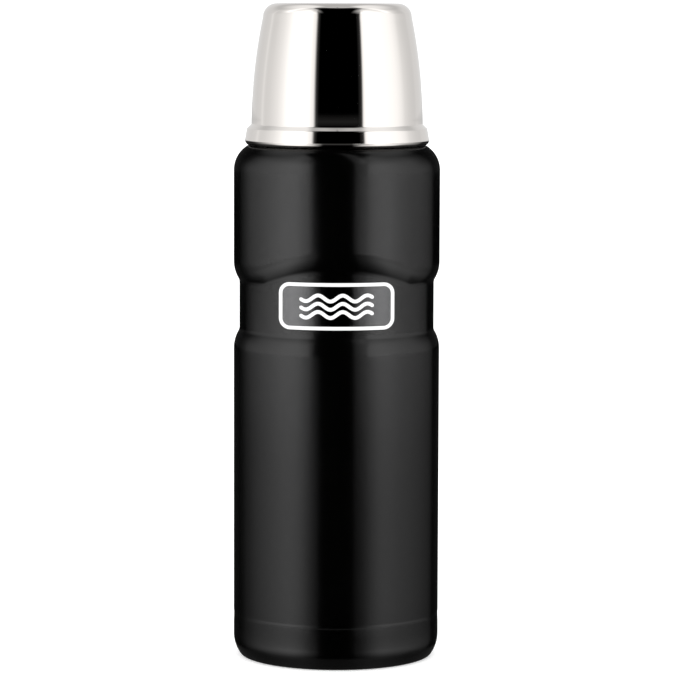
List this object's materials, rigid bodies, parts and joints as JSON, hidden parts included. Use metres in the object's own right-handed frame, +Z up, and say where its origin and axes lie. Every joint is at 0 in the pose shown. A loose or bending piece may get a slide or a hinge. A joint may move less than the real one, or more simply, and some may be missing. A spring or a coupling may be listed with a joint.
{
  "type": "vacuum flask",
  "caption": "Vacuum-insulated steel flask with a black waisted body, a screw-in pouring stopper and a polished drinking cup screwed on as its lid.",
  "frame": {"origin": "centre of the base, on the surface that the flask stands on", "axes": "+Z up along the flask's axis; the front with the badge faces -Y; +X to the right seen from the front"},
  "size_m": [0.074, 0.074, 0.235],
  "materials": {
    "body_paint": "semi-gloss",
    "cup_steel": "mirror polished",
    "vessel_steel": "satin",
    "base_steel": "brushed",
    "badge": "satin with a white printed outline",
    "black_plastic": "fine moulded texture",
    "silicone": "matte",
    "foam": "open foam",
    "foil": "bright",
    "getter_alloy": "sintered",
    "sealing_glass": "dark fused"
  },
  "bodies": {
    "flask": {"outer_shell": "body_paint", "base_cup": "body_paint", "base_disc": "base_steel", "vacuum_seal": "sealing_glass", "getter": "getter_alloy", "getter_clip": "vessel_steel", "inner_vessel": "vessel_steel", "inner_base": "vessel_steel", "foil_wrap": "foil", "foil_base": "foil", "badge": "badge"},
    "stopper_seal": {"stopper_gasket": "silicone"},
    "stopper": {"stopper_knob": "black_plastic", "stopper_plug": "black_plastic", "stopper_core": "foam", "stopper_base": "black_plastic"},
    "cup_inner": {"cup_liner": "vessel_steel"},
    "cup": {"cup_shell": "cup_steel", "cup_thread_ring": "black_plastic"}
  },
  "joints": [
    {"name": "stopper_lift", "type": "slide", "parent": "flask", "child": "stopper_seal", "axis": [0, 0, 1], "range_m": [0, 0.0301]},
    {"name": "stopper_turn", "type": "hinge", "parent": "stopper_seal", "child": "stopper", "pos_m": [0, 0, 0.2], "axis": [0, 0, 1], "range_deg": [0, 1080]},
    {"name": "cup_lift", "type": "slide", "parent": "stopper", "child": "cup_inner", "axis": [0, 0, 1], "range_m": [0, 0.0401]},
    {"name": "cup_turn", "type": "hinge", "parent": "cup_inner", "child": "cup", "pos_m": [0, 0, 0.21], "axis": [0, 0, 1], "range_deg": [0, 1440]}
  ],
  "couplings": [
    {"joint": "stopper_lift", "follows": "stopper_turn", "m_per_rad": 0.0015915},
    {"joint": "cup_lift", "follows": "cup_turn", "m_per_rad": 0.0015915}
  ]
}
